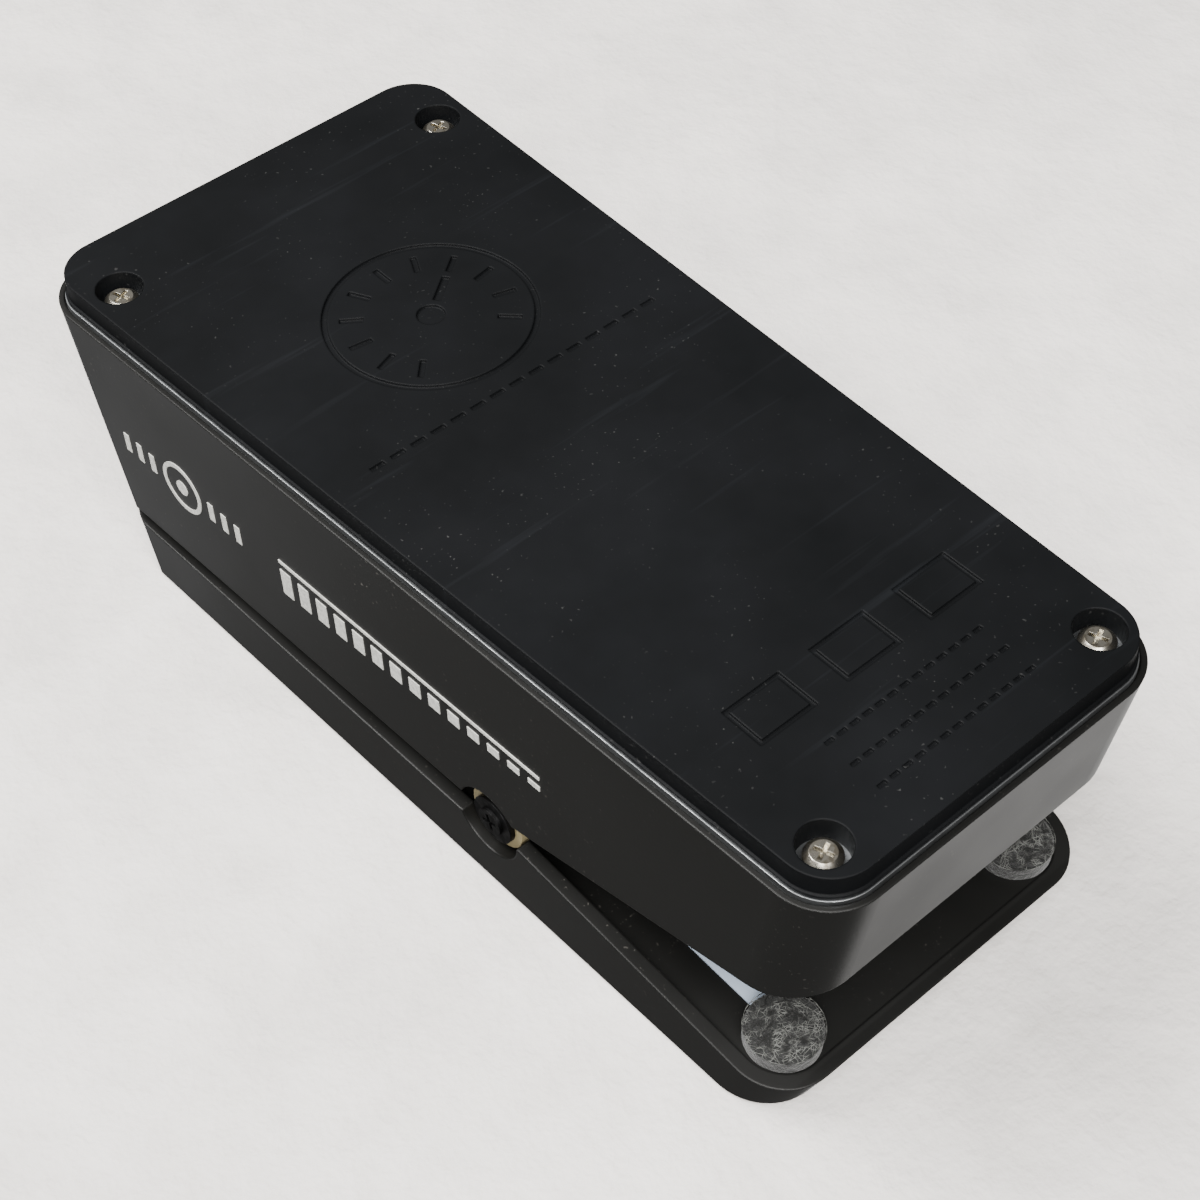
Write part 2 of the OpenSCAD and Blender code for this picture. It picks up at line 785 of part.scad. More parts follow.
module jack_nuts() color("#d6d5cf") {
    for (x = [-jack_gap, 0, jack_gap]) on_toe_wall(x, jack_up) rotate([90, 0, 0]) difference() {
        translate([0, 0, -face_washer_t - nut_t]) cylinder(h = nut_t, r = nut_r, $fn = 6);
        translate([0, 0, -face_washer_t - nut_t - cut]) cylinder(h = nut_t + 2 * cut, r = neck_r + fit_gap);
    }
}

module jack_springs() color("#c8a85a") {
    for (x = [-jack_gap, 0, jack_gap]) on_toe_wall(x, jack_up) {
        translate([-2, jack_back + 0.6, 1.4]) cube([4, 4, 0.4]);
        translate([-2, jack_back - 1.6, 1.4]) cube([4, 2.4, 0.4]);
        translate([-2, jack_back - 1.6, board_top]) cube([4, 0.4, 1.6 - board_top]);
    }
}

module on_board(x, y) {
    on_toe_wall(x, jack_up) translate([0, y, board_top]) children();
}

module circuit_board() color("#2c5a3c") {
    on_toe_wall(0, jack_up) translate([-board_half, board_back, board_top - board_t])
        cube([2 * board_half, board_front - board_back, board_t]);
}

module board_capacitors() color("#8a3b2a") {
    for (x = [-4, 4]) on_board(x, -34.5) translate([-2.4, -1.5, 0]) cube([4.8, 3, 5.5]);
}

switch_travel = 2;
module mode_switch_case() color("#9b9ea0") {
    on_board(-16, -34.5) difference() {
        translate([-4.5, -2.2, 0]) cube([9, 4.4, 4.2]);
        translate([-2.5, -0.8, 2.2]) cube([5, 1.6, 3]);
    }
}

module mode_switch_lever() color("#1c1c1c") {
    on_board(-16 - switch_travel / 2, -34.5) translate([-1, -0.7, 2.5]) cube([2, 1.4, 3.6]);
}

module trim_pot_case() color("#2f4f8a") {
    on_board(16, -34.5) difference() {
        translate([-3.3, -3.3, 0]) cube([6.6, 6.6, 3.6]);
        translate([0, 0, 2]) cylinder(h = 3, r = 2.3);
    }
}

module trim_pot_wheel() color("#d9d4c4") {
    on_board(16, -34.5) translate([0, 0, 2.3]) difference() {
        cylinder(h = 2, r = 2.2);
        translate([-1.6, -0.3, 1.3]) cube([3.2, 0.6, 2]);
    }
}

// Wire along points, as rods joined by balls
module wire(points, r) {
    for (k = [0 : len(points) - 2]) {
        d = points[k + 1] - points[k];
        flat = norm([d[0], d[1]]);
        translate(points[k]) rotate([0, atan2(flat, d[2]), atan2(d[1], d[0])]) cylinder(h = norm(d), r = r);
        if (k > 0) translate(points[k]) sphere(r = r * 1.25);
    }
}

// Point in the part's frame, given across, along and above the circuit board
function on_board_point(x, y, z) = [x,
    toe_y + y * cos(toe_lean) - (jack_up + board_top + z) * sin(toe_lean),
    base_z + y * sin(toe_lean) + (jack_up + board_top + z) * cos(toe_lean)];

// Three leads from the lugs of the potentiometer to the board
lead_r = 0.6;
module wiring() color("#b63a30") {
    lug_top = drum_z + pot_r + 6;
    for (k = [-1, 0, 1])
        wire([[pot_x + 3.6 + lead_r + slip, drum_y + 5 * k, lug_top - 4],
            [pot_x + 8, drum_y + 5 * k + 2, lug_top + 1],
            [pot_x + 7 + 2 * k, drum_y + 16, lug_top - 6 - k],
            on_board_point(8.6 + 2 * k, board_back + 2, lead_r + slip)], lead_r);
}

// ---------------------------------------------------------------- printed marks
// Row of level bars and a ring printed on the right side wall, [distance along, height]
module side_print_right() color("#d8d8d2") {
    film = 0.12;
    intersection() {
        difference() {
            body_block(-film);
            body_block(0);
        }
        union() {
            for (k = [0 : 13]) across([[-34 + 4.6 * k, 26.5], [-31.4 + 4.6 * k, 26.5],
                [-31.4 + 4.6 * k, 27.6 + 0.36 * k], [-34 + 4.6 * k, 27.6 + 0.36 * k]], far);
            across([[-34, 24.2], [28.4, 24.2], [28.4, 24.9], [-34, 24.9]], far);
            translate([0, 55, 27]) rotate([0, 90, 0]) difference() {
                cylinder(h = far, r = 5.2);
                translate([0, 0, -cut]) cylinder(h = far, r = 4.3);
            }
            translate([0, 55, 27]) rotate([0, 90, 0]) cylinder(h = far, r = 1.5);
            for (y = [39, 42.6, 46.2, 62.6, 66.2, 69.8])
                across([[y, 25], [y + 1.4, 25], [y + 1.4, 29], [y, 29]], far);
        }
        translate([10, heel_y, base_z]) cube([far, body_l, far]);
    }
}

housing();
base_plate();
base_pad();
base_screws();
pivot_bushes();
pot_bracket();
bracket_screws();
pot_case();
pot_nut();
pot_washer();
pot_lugs();
input_jack();
output_jack();
aux_jack();
jack_nuts();
jack_washers();
jack_springs();
circuit_board();
board_capacitors();
mode_switch_case();
mode_switch_lever();
trim_pot_case();
trim_pot_wheel();
wiring();
side_print_right();
treadle();
tread_mat();
heel_felt_pads();
toe_felt_pads();
underside_label();
pivot_axle();
axle_washers();
axle_end_screws();
axle_set_screws();
thrust_washers();
sector_arm();
sector_screws();
drive_band_run();
band_clamps();
band_screws();
pot_shaft();
drive_drum();
drum_set_screw();
drive_band_wrap();
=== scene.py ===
"""Volume pedal: procedural looks, added pieces, stage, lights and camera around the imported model."""

import json
import math

import bmesh
import bpy
import numpy as np
from bpy.props import FloatProperty, FloatVectorProperty, IntProperty, PointerProperty
from mathutils import Matrix, Vector


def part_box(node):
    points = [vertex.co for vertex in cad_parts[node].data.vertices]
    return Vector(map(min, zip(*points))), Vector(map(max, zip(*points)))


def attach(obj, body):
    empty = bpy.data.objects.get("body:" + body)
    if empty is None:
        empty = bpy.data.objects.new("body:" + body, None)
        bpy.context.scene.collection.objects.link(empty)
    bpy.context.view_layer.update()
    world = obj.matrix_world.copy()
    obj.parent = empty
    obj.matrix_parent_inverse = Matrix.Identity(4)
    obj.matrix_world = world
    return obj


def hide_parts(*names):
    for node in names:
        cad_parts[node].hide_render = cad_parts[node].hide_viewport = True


bl_info = {
    "name": "Volume pedal",
    "version": (1, 0, 0),
    "blender": (4, 5, 0),
    "location": "View3D > Sidebar > Pedal",
    "description": "Finishes, felt fibres, stage and camera for a rocker volume pedal",
    "category": "Object",
}

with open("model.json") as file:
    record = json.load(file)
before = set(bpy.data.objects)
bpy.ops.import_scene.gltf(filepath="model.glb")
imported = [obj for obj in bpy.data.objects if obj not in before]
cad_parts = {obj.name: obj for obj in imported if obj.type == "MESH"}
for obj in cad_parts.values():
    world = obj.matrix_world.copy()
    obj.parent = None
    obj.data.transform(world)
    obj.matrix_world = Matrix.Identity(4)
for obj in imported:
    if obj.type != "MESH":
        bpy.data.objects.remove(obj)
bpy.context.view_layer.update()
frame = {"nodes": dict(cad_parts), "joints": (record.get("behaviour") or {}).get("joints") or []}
MM = 0.001
SEED = 7
BEVEL_SAMPLES = 6
TUBE_SIDES = 4
TUBE_END = 0.01
FIBRE_RADIUS = 0.035 * MM
FIBRE_LENGTH = 3.2 * MM
FIBRE_STEPS = 5
FIBRE_CURL = 2.2
FIBRE_SINK = 0.1 * MM
FELT_CORNER = 0.45 * MM
FELT_PIT = 0.12 * MM
FLOOR_SIDES = 96
TREADLE_FLOOR_RADIUS = 0.62
PAD_FLOOR_RADIUS = 3.0
PAD_FLOOR_GAP = 0.0002
GRAZING_FADE = (0.72, 0.84)
PLAIN_IOR = 1.5
WARM = (1.0, 0.985, 0.965)
LIGHT_AIM = (0.0, 0.0, 0.03)


# ------------------------------------------------------------------ colours and nodes


def srgb(code):
    """Linear RGBA from an sRGB hex code: divided by 12.92 below 0.04045, else the 2.4 power curve."""
    parts = np.array([int(code[i : i + 2], 16) for i in (0, 2, 4)]) / 255.0
    line = np.where(parts <= 0.04045, parts / 12.92, ((parts + 0.055) / 1.055) ** 2.4)
    return (*(float(v) for v in line), 1.0)


def add(tree, kind, settings=None, sockets=None, links=None):
    """Adds one node, sets its properties and input values, and links its inputs to other nodes' outputs."""
    node = tree.nodes.new(kind)
    for name, value in (settings or {}).items():
        setattr(node, name, value)
    for name, value in (sockets or {}).items():
        node.inputs[name].default_value = value
    for name, (source, output) in (links or {}).items():
        tree.links.new(source.outputs[output], node.inputs[name])
    return node


def ramp(tree, source, output, stops):
    """A colour ramp over stops of (place, linear colour)."""
    node = add(tree, "ShaderNodeValToRGB", links={"Fac": (source, output)})
    points = node.color_ramp.elements
    points[0].position, points[0].color = stops[0]
    points[1].position, points[1].color = stops[-1]
    for place, colour in stops[1:-1]:
        points.new(place).color = colour
    return node


def grey(level):
    """Linear grey as RGBA."""
    return (level, level, level, 1.0)


def dimmed(colour, share):
    """RGBA of a colour at a share of its strength."""
    return (*(c * share for c in colour), 1.0)


def new_material(name):
    """An empty node material with its output and the object's own coordinates."""
    found = bpy.data.materials.get(name)
    if found:
        bpy.data.materials.remove(found)
    material = bpy.data.materials.new(name)
    material.use_nodes = True
    tree = material.node_tree
    tree.nodes.clear()
    out = tree.nodes.new("ShaderNodeOutputMaterial")
    place = tree.nodes.new("ShaderNodeTexCoord")
    return material, tree, out, place


def shade(tree, out, sockets, links):
    """The principled shader joined to the output."""
    shader = add(tree, "ShaderNodeBsdfPrincipled", sockets=sockets, links=links)
    tree.links.new(shader.outputs["BSDF"], out.inputs["Surface"])
    return shader


def noise(tree, place, grain_mm, detail=2.0, roughness=0.5):
    """Noise whose features are about grain_mm across."""
    return add(
        tree,
        "ShaderNodeTexNoise",
        sockets={"Scale": 1.0 / (grain_mm * MM), "Detail": detail, "Roughness": roughness},
        links={"Vector": (place, "Object")},
    )


def edge_round(tree, radius_mm):
    """Normal that rounds a sharp edge by a real radius, as a cast or moulded edge has."""
    return add(tree, "ShaderNodeBevel", {"samples": BEVEL_SAMPLES}, {"Radius": radius_mm * MM})


def bump(tree, height, output, depth_mm, strength, under=None):
    """Bump of a real depth, over another normal if one is given."""
    links = {"Height": (height, output)}
    if under:
        links["Normal"] = (under, "Normal")
    return add(
        tree,
        "ShaderNodeBump",
        sockets={"Distance": depth_mm * MM, "Strength": strength},
        links=links,
    )


def dust(tree, place, base, output, amount, tint, speck_mm=0.9):
    """Base colour with sparse pale specks of dust of about speck_mm."""
    specks = noise(tree, place, speck_mm, 1.0)
    patches = noise(tree, place, 22.0, 3.0)
    where = ramp(tree, specks, "Fac", [(0.70, grey(0.0)), (0.78, grey(1.0))])
    zones = ramp(tree, patches, "Fac", [(0.45, grey(0.0)), (0.75, grey(1.0))])
    mask = add(
        tree,
        "ShaderNodeMath",
        {"operation": "MULTIPLY"},
        links={0: (where, "Color"), 1: (zones, "Color")},
    )
    part = add(tree, "ShaderNodeMath", {"operation": "MULTIPLY"}, {1: amount}, {0: (mask, 0)})
    return add(
        tree,
        "ShaderNodeMix",
        {"data_type": "RGBA"},
        {7: tint},
        {0: (part, 0), 6: (base, output)},
    )


# ------------------------------------------------------------------ materials


def powder_coat(finish):
    """Satin black powder coat on cast aluminium: orange peel of about 0.7 mm that softens each reflection."""
    material, tree, out, place = new_material("satin_black_powder_coat")
    peel = noise(tree, place, finish.peel_mm, 2.0)
    broad = noise(tree, place, 34.0, 3.0)
    tone = ramp(tree, broad, "Fac", [(0.3, srgb("0e0e0d")), (0.7, srgb("121211"))])
    gloss = ramp(tree, broad, "Fac", [(0.3, grey(0.36)), (0.7, grey(0.44))])
    edge = edge_round(tree, 0.5)
    rough = bump(tree, peel, "Fac", 0.03, 0.22, edge)
    dusty = dust(tree, place, tone, "Color", 0.25, srgb("8f8b84"), 0.7)
    shade(
        tree,
        out,
        {"IOR": PLAIN_IOR, "Specular IOR Level": 0.32},
        {"Base Color": (dusty, 2), "Roughness": (gloss, "Color"), "Normal": (rough, "Normal")},
    )
    return material


def pad_rubber(finish):
    """Smooth moulded rubber: blue-black, satin, with rub marks a few centimetres long and a little lint."""
    material, tree, out, place = new_material("moulded_base_rubber")
    cloud = noise(tree, place, 40.0, 4.0, 0.6)
    tone = ramp(tree, cloud, "Fac", [(0.3, dimmed(finish.pad_colour, 1.0)), (0.72, srgb("0e0f11"))])
    turned = add(
        tree,
        "ShaderNodeMapping",
        sockets={"Rotation": (0.0, 0.0, math.radians(35)), "Scale": (14.0, 260.0, 14.0)},
        links={"Vector": (place, "Object")},
    )
    streak = add(
        tree,
        "ShaderNodeTexNoise",
        sockets={"Scale": 1.0, "Detail": 3.0, "Roughness": 0.6},
        links={"Vector": (turned, "Vector")},
    )
    rubbed = ramp(tree, streak, "Fac", [(0.60, grey(0.0)), (0.74, grey(1.0))])
    smear = add(
        tree, "ShaderNodeMath", {"operation": "MULTIPLY"}, {1: finish.scuff}, {0: (rubbed, "Color")}
    )
    marked = add(
        tree,
        "ShaderNodeMix",
        {"data_type": "RGBA"},
        {7: srgb("33363b")},
        {0: (smear, 0), 6: (tone, "Color")},
    )
    gloss = ramp(tree, cloud, "Fac", [(0.3, grey(0.46)), (0.7, grey(0.56))])
    edge = edge_round(tree, 0.45)
    grain = noise(tree, place, 0.8, 2.0)
    skin = bump(tree, grain, "Fac", 0.02, 0.15, edge)
    dusty = dust(tree, place, marked, 2, finish.lint, srgb("b9b9b6"), 0.8)
    shade(
        tree,
        out,
        {"IOR": PLAIN_IOR, "Specular IOR Level": 0.1},
        {"Base Color": (dusty, 2), "Roughness": (gloss, "Color"), "Normal": (skin, "Normal")},
    )
    return material


def tread_rubber():
    """Matt ribbed rubber: dark grey with fine grit and dust on top of the ribs."""
    material, tree, out, place = new_material("ribbed_tread_rubber")
    cloud = noise(tree, place, 25.0, 3.0)
    tone = ramp(tree, cloud, "Fac", [(0.3, srgb("141414")), (0.7, srgb("1c1c1b"))])
    grit = noise(tree, place, 0.6, 2.0)
    edge = edge_round(tree, 0.35)
    skin = bump(tree, grit, "Fac", 0.08, 0.5, edge)
    dusty = dust(tree, place, tone, "Color", 0.3, srgb("85827c"))
    shade(
        tree,
        out,
        {"Roughness": 0.72, "IOR": PLAIN_IOR},
        {"Base Color": (dusty, 2), "Normal": (skin, "Normal")},
    )
    return material


def plated(name, bright, dull, rough, grain_mm=2.0, edge_mm=0.12):
    """Plated metal: bright tone with duller worn patches and slight cloudiness in the gloss."""
    material, tree, out, place = new_material(name)
    cloud = noise(tree, place, grain_mm, 3.0)
    tone = ramp(tree, cloud, "Fac", [(0.35, srgb(dull)), (0.62, srgb(bright))])
    gloss = ramp(tree, cloud, "Fac", [(0.35, grey(rough + 0.14)), (0.65, grey(rough))])
    edge = edge_round(tree, edge_mm)
    shade(
        tree,
        out,
        {"Metallic": 1.0},
        {"Base Color": (tone, "Color"), "Roughness": (gloss, "Color"), "Normal": (edge, "Normal")},
    )
    return material


def brushed(name, tone_a, tone_b, rough, along):
    """Drawn or brushed metal: fine lines 0.3 mm apart that run along one axis."""
    material, tree, out, place = new_material(name)
    pitch = [1.0 / (0.3 * MM)] * 3
    pitch[along] = 1.0 / (30 * MM)
    turned = add(
        tree,
        "ShaderNodeMapping",
        sockets={"Scale": tuple(pitch)},
        links={"Vector": (place, "Object")},
    )
    lines = add(
        tree,
        "ShaderNodeTexNoise",
        sockets={"Scale": 1.0, "Detail": 2.0},
        links={"Vector": (turned, "Vector")},
    )
    tone = ramp(tree, lines, "Fac", [(0.35, srgb(tone_a)), (0.65, srgb(tone_b))])
    edge = edge_round(tree, 0.1)
    skin = bump(tree, lines, "Fac", 0.01, 0.3, edge)
    shade(
        tree,
        out,
        {"Metallic": 1.0, "Roughness": rough},
        {"Base Color": (tone, "Color"), "Normal": (skin, "Normal")},
    )
    return material


def moulded(name, tone_a, tone_b, rough, grain_mm=1.2, edge_mm=0.2):
    """Moulded plastic: even colour with a slight drift in tone and a fine moulded texture."""
    material, tree, out, place = new_material(name)
    cloud = noise(tree, place, 9.0, 3.0)
    tone = ramp(tree, cloud, "Fac", [(0.3, srgb(tone_a)), (0.7, srgb(tone_b))])
    grain = noise(tree, place, grain_mm, 2.0)
    edge = edge_round(tree, edge_mm)
    skin = bump(tree, grain, "Fac", 0.02, 0.2, edge)
    shade(
        tree,
        out,
        {"Roughness": rough, "IOR": 1.46},
        {"Base Color": (tone, "Color"), "Normal": (skin, "Normal")},
    )
    return material


def felt_body():
    """Pressed wool felt: dark grey mottled at about 0.9 mm, with no gloss but a soft sheen of fibres."""
    material, tree, out, place = new_material("pressed_wool_felt")
    cells = noise(tree, place, 0.9, 4.0, 0.7)
    stops = [(0.36, srgb("0b0b0b")), (0.52, srgb("161716")), (0.68, srgb("2a2b2a"))]
    tone = ramp(tree, cells, "Fac", stops)
    skin = bump(tree, cells, "Fac", 0.5, 0.9)
    shade(
        tree,
        out,
        {"Roughness": 0.95, "IOR": 1.4, "Sheen Weight": 0.25, "Sheen Roughness": 0.5},
        {"Base Color": (tone, "Color"), "Normal": (skin, "Normal")},
    )
    return material


def felt_fibre():
    """Loose wool fibre: pale grey and dark grey strands mixed."""
    material, tree, out, place = new_material("loose_wool_fibre")
    cells = noise(tree, place, 1.6, 2.0)
    tone = ramp(tree, cells, "Fac", [(0.4, srgb("1c1c1b")), (0.6, srgb("6e6f6c"))])
    shade(tree, out, {"Roughness": 0.9, "IOR": 1.4}, {"Base Color": (tone, "Color")})
    return material


def circuit_green():
    """Glass-fibre board under green solder mask: glossy, with faint darker copper paths 1.5 mm apart."""
    material, tree, out, place = new_material("green_solder_mask")
    wave = add(
        tree,
        "ShaderNodeTexWave",
        {"wave_type": "BANDS", "bands_direction": "X"},
        {"Scale": 1.0 / (1.5 * MM) / math.tau, "Distortion": 2.0, "Detail": 0.0},
        {"Vector": (place, "Object")},
    )
    tone = ramp(tree, wave, "Fac", [(0.45, srgb("1d4a31")), (0.55, srgb("2b6644"))])
    shade(tree, out, {"Roughness": 0.3, "IOR": PLAIN_IOR}, {"Base Color": (tone, "Color")})
    return material


def wear(name, material):
    """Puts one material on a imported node."""
    mesh = frame["nodes"][name].data
    mesh.materials.clear()
    mesh.materials.append(material)


# ------------------------------------------------------------------ meshes


def tubes(paths, radius):
    """Closed thin tubes along many paths at once.

    Each path is a row of points. A ring of four points of the given radius stands round each point, across
    the path's own direction, and the first and last rings shrink to a hundredth so that each end is closed
    by a fan.
    """
    count, steps = paths.shape[:2]
    sides = TUBE_SIDES
    along = np.gradient(paths, axis=1)
    along /= np.linalg.norm(along, axis=2, keepdims=True) + 1e-12
    guide = np.where(np.abs(along[..., 2:3]) > 0.9, [[[1.0, 0, 0]]], [[[0, 0, 1.0]]])
    across = np.cross(along, guide)
    across /= np.linalg.norm(across, axis=2, keepdims=True) + 1e-12
    third = np.cross(along, across)
    turn = np.arange(sides) / sides * math.tau
    taper = np.ones(steps)
    taper[0] = taper[-1] = TUBE_END
    ring = (
        np.cos(turn)[None, None, :, None] * across[:, :, None, :]
        + np.sin(turn)[None, None, :, None] * third[:, :, None, :]
    )
    points = paths[:, :, None, :] + ring * (radius * taper)[None, :, None, None]
    points = points.reshape(-1, 3)
    first = (np.arange(count) * steps * sides)[:, None, None]
    step = (np.arange(steps - 1) * sides)[None, :, None]
    side = np.arange(sides)[None, None, :]
    after = (side + 1) % sides
    a = first + step + side
    b = first + step + after
    c = b + sides
    d = a + sides
    walls = np.stack([a, b, c, d], axis=-1).reshape(-1, 4)
    start = (np.arange(count) * steps * sides)[:, None] + np.arange(sides)[::-1][None, :]
    end = (np.arange(count) * steps * sides)[:, None] + (steps - 1) * sides + np.arange(sides)[None, :]
    return points, np.concatenate([walls, start, end])


def closed_mesh(name, points, faces, material, body):
    """A mesh object whose faces are turned outwards once its shape is closed."""
    mesh = bpy.data.meshes.new(name)
    mesh.from_pydata(points.tolist(), [], faces)
    work = bmesh.new()
    work.from_mesh(mesh)
    bmesh.ops.recalc_face_normals(work, faces=work.faces)
    work.to_mesh(mesh)
    work.free()
    mesh.update()
    mesh.materials.append(material)
    made = bpy.data.objects.new(name, mesh)
    bpy.context.scene.collection.objects.link(made)
    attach(made, body)
    return made


def treadle_turn(pitch):
    """Rotation that lays a shape made in the treadle's own frame along its slope, facing down."""
    lay = Matrix.Rotation(-pitch, 3, "X") @ Matrix.Rotation(math.pi, 3, "X")
    return np.array(lay)


def felt_disc(radius, thick, rng):
    """Points and faces of a felt disc about its own middle, with a softly uneven face.

    Rings of radius r and turn t run from the middle of the face over a rounded rim to the back. The rim's
    radius wavers by two cosines of t, and the face sinks by a product of sines of x and y. Both poles are
    single points.
    """
    rings, sectors, corner = 26, 72, FELT_CORNER
    flat_end, round_end = 0.55, 0.75
    t = np.arange(sectors) / sectors * math.tau
    slow = np.cos(3 * t + rng.uniform(0, 6))
    quick = np.cos(8 * t + rng.uniform(0, 6))
    waver = 1 - 0.012 * (1 + slow + 0.6 * quick) / 2
    s = np.linspace(0, 1, rings)[1:]
    angle = np.clip((s - flat_end) / (round_end - flat_end), 0, 1) * math.pi / 2
    fall = np.clip((s - round_end) / (1 - round_end), 0, 1)
    inner = radius - corner
    r = np.where(s < flat_end, inner * s / flat_end, inner + corner * np.sin(angle))
    h = thick / 2 - corner * (1 - np.cos(angle)) - (thick - corner) * fall
    x = r[:, None] * np.cos(t) * waver
    y = r[:, None] * np.sin(t) * waver
    face = np.clip(1 - fall * 4, 0, 1)[:, None]
    sink = FELT_PIT * (1 + np.sin(x * 2300 + 1.3) * np.sin(y * 2100 + 0.4)) * face
    z = h[:, None] - sink
    middle, back = [[0, 0, thick / 2 - FELT_PIT]], [[0, 0, -thick / 2]]
    points = np.concatenate([middle, np.stack([x, y, z], -1).reshape(-1, 3), back])
    i = np.arange(rings - 2)[:, None] * sectors + 1
    j = np.arange(sectors)[None, :]
    k = (j + 1) % sectors
    walls = np.stack([i + j, i + sectors + j, i + sectors + k, i + k], -1).reshape(-1, 4)
    ring = np.arange(sectors)
    low = 1 + (rings - 2) * sectors
    face_fan = np.stack([np.zeros(sectors, int), 1 + ring, 1 + (ring + 1) % sectors], -1)
    back_fan = np.stack([np.full(sectors, len(points) - 1), low + (ring + 1) % sectors, low + ring], -1)
    return points, walls, np.concatenate([face_fan, back_fan])


def fibre_paths(radius, thick, count, length, rng):
    """Short curled fibres over a disc's face and rim, each a row of five points.

    A fibre starts on the face, wanders off at a random heading h that turns steadily along it, and rises by a
    parabola of its own length, so its middle stands proud of the felt and its ends lie in it.
    """
    steps = FIBRE_STEPS
    spread = radius * np.sqrt(rng.uniform(0, 1, count)) * 0.98
    t0 = rng.uniform(0, 2 * math.pi, count)
    start = np.stack([spread * np.cos(t0), spread * np.sin(t0)], -1)
    heading = rng.uniform(0, 2 * math.pi, count)
    curl = rng.uniform(-FIBRE_CURL, FIBRE_CURL, count)
    u = np.linspace(0, 1, steps)
    size = length * rng.uniform(0.5, 1.3, count)
    turn = heading[:, None] + curl[:, None] * u
    pace = size[:, None] / (steps - 1)
    x = start[:, :1] + np.cumsum(np.cos(turn) * pace, axis=1)
    y = start[:, 1:] + np.cumsum(np.sin(turn) * pace, axis=1)
    reach = np.sqrt(x**2 + y**2)
    pull = np.minimum(1, radius * 1.02 / np.maximum(reach, 1e-9))
    rise = rng.uniform(0.03, 0.22, count)[:, None] * MM * 4 * u * (1 - u)
    z = thick / 2 - FIBRE_SINK + rise
    return np.stack([x * pull, y * pull, z], -1)


def felt_pads(node, body, count, pitch, sizes, rng):
    """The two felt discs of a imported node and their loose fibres, in the node's own places."""
    low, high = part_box(node)
    radius, thick = sizes
    turn = treadle_turn(pitch)
    middle = (low + high) / 2
    lie, walls_all, fans_all, strands = [], [], [], []
    shift = 0
    for side in (low.x + radius, high.x - radius):
        centre = np.array([side, middle.y, middle.z])
        points, walls, fans = felt_disc(radius, thick, rng)
        lie.append(points @ turn.T + centre)
        walls_all.append(walls + shift)
        fans_all.append(fans + shift)
        shift += len(points)
        strands.append(fibre_paths(radius, thick, count, FIBRE_LENGTH, rng) @ turn.T + centre)
    faces = np.concatenate(walls_all).tolist() + np.concatenate(fans_all).tolist()
    pads = closed_mesh(node + "_felt", np.concatenate(lie), faces, MATERIALS["felt"], body)
    points, strips = tubes(np.concatenate(strands), FIBRE_RADIUS)
    loose = closed_mesh(node + "_fibres", points, strips.tolist(), MATERIALS["fibre"], body)
    for piece in (pads, loose):
        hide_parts(node)
    return pads, loose


MATERIALS = {}


# ------------------------------------------------------------------ sizes and colours


class PedalFinish(bpy.types.PropertyGroup):
    """Colours and surface sizes of the pedal's finishes."""

    pad_colour: FloatVectorProperty(
        name="Pad colour",
        description="Darkest tone of the base rubber",
        subtype="COLOR",
        default=srgb("08090a")[:3],
        min=0.0,
        max=1.0,
    )
    label_colour: FloatVectorProperty(
        name="Label colour",
        description="Colour of the blank label under the treadle",
        subtype="COLOR",
        default=srgb("b4c1d2")[:3],
        min=0.0,
        max=1.0,
    )
    ink_colour: FloatVectorProperty(
        name="Ink colour",
        description="Colour of the printed marks on the side",
        subtype="COLOR",
        default=srgb("cfcfca")[:3],
        min=0.0,
        max=1.0,
    )
    peel_mm: FloatProperty(
        name="Orange peel",
        description="Width of the powder coat's ripples, in mm",
        default=0.7,
        min=0.2,
        max=3.0,
    )
    scuff: FloatProperty(
        name="Scuffs",
        description="Strength of the rub marks on the pad",
        default=0.12,
        min=0.0,
        max=1.0,
    )
    lint: FloatProperty(
        name="Lint",
        description="Strength of the pale specks on the pad",
        default=0.08,
        min=0.0,
        max=1.0,
    )


class PedalFelt(bpy.types.PropertyGroup):
    """Sizes of the felt pads and their fibres."""

    radius: FloatProperty(
        name="Felt radius",
        description="Radius of a felt pad",
        default=6.35 * MM,
        unit="LENGTH",
        precision=5,
    )
    thickness: FloatProperty(
        name="Felt thickness",
        description="Thickness of a felt pad",
        default=3.0 * MM,
        unit="LENGTH",
        precision=5,
    )
    heel_fibres: IntProperty(
        name="Heel fibres",
        description="Loose fibres on each felt pad at the heel",
        default=420,
        min=0,
        max=2000,
    )
    toe_fibres: IntProperty(
        name="Toe fibres",
        description="Loose fibres on each felt pad at the toe",
        default=90,
        min=0,
        max=2000,
    )
    pitch: FloatProperty(
        name="Treadle pitch",
        description="Slope of the treadle towards the toe",
        default=math.radians(2.9),
        subtype="ANGLE",
    )


